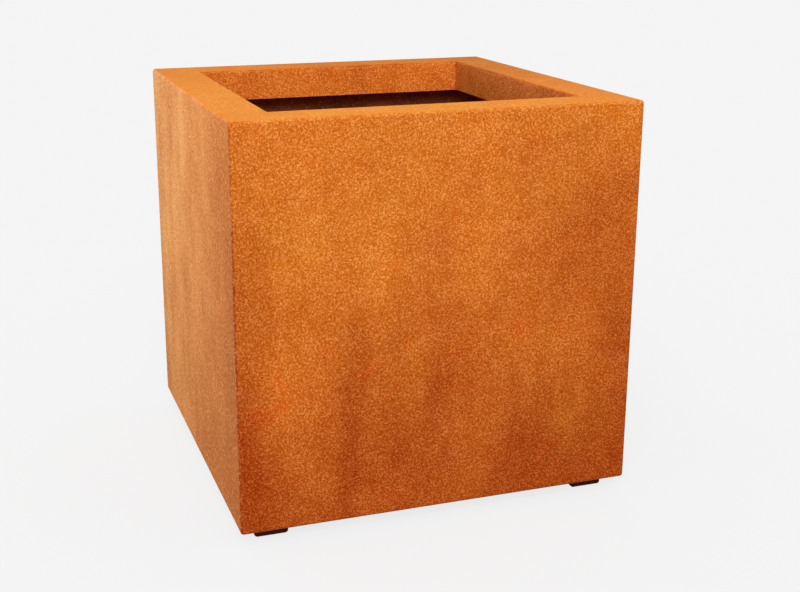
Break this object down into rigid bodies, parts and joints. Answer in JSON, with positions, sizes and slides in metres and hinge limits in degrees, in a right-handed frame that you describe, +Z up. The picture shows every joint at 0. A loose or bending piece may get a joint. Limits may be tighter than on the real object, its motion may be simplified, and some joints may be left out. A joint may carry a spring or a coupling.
{
  "type": "planter box",
  "caption": "Square rusted-steel planter box with a broad flat rim, a turned-down inner lip, a drained base and low feet.",
  "frame": {"origin": "on the ground, at the centre of the square footprint", "axes": "+X along the front to the right, +Y to the rear, +Z up through the mouth"},
  "size_m": [0.6, 0.6, 0.6],
  "materials": {
    "rusted_sheet": "matte",
    "dark_base": "matte",
    "dark_feet": "matte",
    "weld_metal": "matte"
  },
  "bodies": {
    "root": {"front_panel": "rusted_sheet", "right_panel": "rusted_sheet", "rear_panel": "rusted_sheet", "left_panel": "rusted_sheet", "base_plate": "dark_base", "foot_front_left": "dark_feet", "foot_front_right": "dark_feet", "foot_rear_right": "dark_feet", "foot_rear_left": "dark_feet", "corner_weld_front_left": "weld_metal", "corner_weld_front_right": "weld_metal", "corner_weld_rear_right": "weld_metal", "corner_weld_rear_left": "weld_metal", "rim_mitre_weld_front_left": "weld_metal", "rim_mitre_weld_front_right": "weld_metal", "rim_mitre_weld_rear_right": "weld_metal", "rim_mitre_weld_rear_left": "weld_metal", "lip_corner_weld_front_left": "weld_metal", "lip_corner_weld_front_right": "weld_metal", "lip_corner_weld_rear_right": "weld_metal", "lip_corner_weld_rear_left": "weld_metal", "flange_mitre_weld_front_left": "weld_metal", "flange_mitre_weld_front_right": "weld_metal", "flange_mitre_weld_rear_right": "weld_metal", "flange_mitre_weld_rear_left": "weld_metal", "foot_stitch_welds_front_left": "weld_metal", "foot_stitch_welds_front_right": "weld_metal", "foot_stitch_welds_rear_right": "weld_metal", "foot_stitch_welds_rear_left": "weld_metal", "base_stitch_welds_front": "weld_metal", "base_stitch_welds_right": "weld_metal", "base_stitch_welds_rear": "weld_metal", "base_stitch_welds_left": "weld_metal"}
  },
  "joints": []
}
